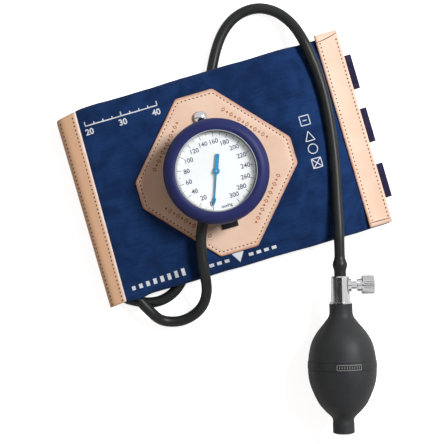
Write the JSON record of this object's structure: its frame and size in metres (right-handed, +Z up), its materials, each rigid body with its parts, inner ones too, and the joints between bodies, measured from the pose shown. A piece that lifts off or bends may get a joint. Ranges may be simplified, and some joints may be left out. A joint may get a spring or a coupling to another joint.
{
  "type": "aneroid sphygmomanometer",
  "caption": "Round dial blood pressure gauge strapped to a folded arm cuff with leather trim, with a hose loop to the cuff and a second hose to a knurled release valve and rubber squeeze bulb.",
  "frame": {"origin": "on the table, on the folded cuff's underside, under the middle of the gauge", "axes": "+Z up out of the dial, +X along the cuff from its fold to its closure tabs, +Y across the cuff, away from the bulb"},
  "size_m": [0.2297, 0.3314, 0.051],
  "materials": {
    "navy_cloth": "woven nylon, matt",
    "navy_lining": "woven nylon, matt",
    "hook_tape": "short hooks",
    "violet_webbing": "ribbed webbing",
    "tan_leather": "smooth, stitched",
    "black_strap": "smooth",
    "bladder_rubber": "matt",
    "hose_rubber": "semi-matt",
    "bulb_rubber": "semi-matt",
    "bumper_rubber": "semi-matt, dark blue",
    "seal_rubber": "matt",
    "chrome": "polished",
    "case_metal": "dark enamel",
    "brass": "machined",
    "spring_steel": "bare",
    "capsule_bronze": "formed sheet",
    "dial_white": "white enamel, printed",
    "pointer_blue": "blue-green enamel",
    "clear_lens": "clear"
  },
  "bodies": {
    "cuff_gauge_and_bulb": {"cuff_front_cover": "navy_cloth", "cuff_back_cover": "navy_lining", "bladder": "bladder_rubber", "bladder_elbow": "hose_rubber", "bladder_nipple": "hose_rubber", "left_leather_strip": "tan_leather", "right_leather_strip": "tan_leather", "leather_patch": "tan_leather", "gauge_strap": "black_strap", "strap_snap_cap": "chrome", "snap_socket": "chrome", "gauge_case": "case_metal", "case_screws": "chrome", "gauge_clip": "spring_steel", "gauge_nipple": "chrome", "capsule_base": "brass", "capsule_bellows": "capsule_bronze", "movement_lower_plate": "brass", "movement_upper_plate": "brass", "movement_pillars": "brass", "movement_screws": "spring_steel", "hairspring": "spring_steel", "dial_plate": "dial_white", "lens": "clear_lens", "lens_gasket": "seal_rubber", "bezel_ring": "chrome", "bumper_ring": "bumper_rubber", "gauge_hose": "hose_rubber", "bulb_hose": "hose_rubber", "hose_end_sleeve": "hose_rubber", "valve_body": "chrome", "valve_barb": "chrome", "valve_bonnet": "chrome", "valve_o_ring": "seal_rubber", "outlet_seat": "brass", "outlet_retainer": "brass", "outlet_spring": "spring_steel", "bulb": "bulb_rubber", "inlet_valve_body": "chrome", "inlet_filter": "spring_steel"},
    "fold": {"fold_spine": "navy_cloth"},
    "tail": {"tail_panel": "navy_cloth", "hook_pad": "hook_tape", "closure_tabs": "violet_webbing"},
    "pointer_and_pinion": {"pinion_spindle": "spring_steel", "pointer": "pointer_blue"},
    "sector": {"sector_gear": "brass"},
    "rocker": {"rocking_shaft": "spring_steel"},
    "capsule_pin": {"push_pin": "brass"},
    "release_needle": {"release_pin": "brass"},
    "release_screw": {"release_knob": "chrome", "release_spindle": "brass"},
    "outlet_check_ball": {"outlet_ball": "spring_steel"},
    "inlet_check_disc": {"inlet_disc": "seal_rubber"}
  },
  "joints": [
    {"name": "fold_opens", "type": "hinge", "parent": "cuff_gauge_and_bulb", "child": "fold", "pos_m": [-0.1055, 0.0005, 0.014], "axis": [0, 1, 0], "range_deg": [0, 90]},
    {"name": "tail_unfolds", "type": "hinge", "parent": "fold", "child": "tail", "pos_m": [-0.1055, 0.0005, 0.0008], "axis": [0, 1, 0], "range_deg": [0, 90]},
    {"name": "sector_swings", "type": "hinge", "parent": "cuff_gauge_and_bulb", "child": "sector", "pos_m": [0.0045, -0.02153, 0.039], "axis": [0, 0, 1], "range_deg": [0, 31.9]},
    {"name": "pointer_turns", "type": "hinge", "parent": "cuff_gauge_and_bulb", "child": "pointer_and_pinion", "pos_m": [0, 0, 0.039], "axis": [0, 0, -1], "range_deg": [0, 319], "deforming": ["hairspring"]},
    {"name": "rocking_shaft_tilts", "type": "hinge", "parent": "cuff_gauge_and_bulb", "child": "rocker", "pos_m": [0.0033, -0.01, 0.0349], "axis": [0, 1, 0], "range_deg": [0, 20]},
    {"name": "capsule_lifts", "type": "slide", "parent": "cuff_gauge_and_bulb", "child": "capsule_pin", "axis": [0, 0, 1], "range_m": [0, 0.0012], "stiffness_N_per_m": 20, "deforming": ["capsule_bellows"]},
    {"name": "release_needle_lifts", "type": "slide", "parent": "cuff_gauge_and_bulb", "child": "release_needle", "axis": [0.9659, -0.2588, 0], "range_m": [0, 0.00105]},
    {"name": "release_knob_turns", "type": "hinge", "parent": "release_needle", "child": "release_screw", "pos_m": [0.08394, -0.11194, 0.0255], "axis": [0.9659, -0.2588, 0], "range_deg": [0, 540]},
    {"name": "outlet_ball_lifts", "type": "slide", "parent": "cuff_gauge_and_bulb", "child": "outlet_check_ball", "axis": [0.2588, 0.9659, 0], "range_m": [0, 0.0008], "stiffness_N_per_m": 20, "deforming": ["outlet_spring"]},
    {"name": "inlet_disc_lifts", "type": "slide", "parent": "cuff_gauge_and_bulb", "child": "inlet_check_disc", "axis": [0.2588, 0.9659, 0], "range_m": [0, 0.0008]}
  ],
  "couplings": [
    {"joint": "tail_unfolds", "follows": "fold_opens", "ratio": 1},
    {"joint": "rocking_shaft_tilts", "follows": "capsule_lifts", "rad_per_m": 290.89},
    {"joint": "sector_swings", "follows": "capsule_lifts", "rad_per_m": 463.97},
    {"joint": "pointer_turns", "follows": "capsule_lifts", "rad_per_m": 4639.7},
    {"joint": "release_knob_turns", "follows": "release_needle_lifts", "rad_per_m": 8976}
  ]
}
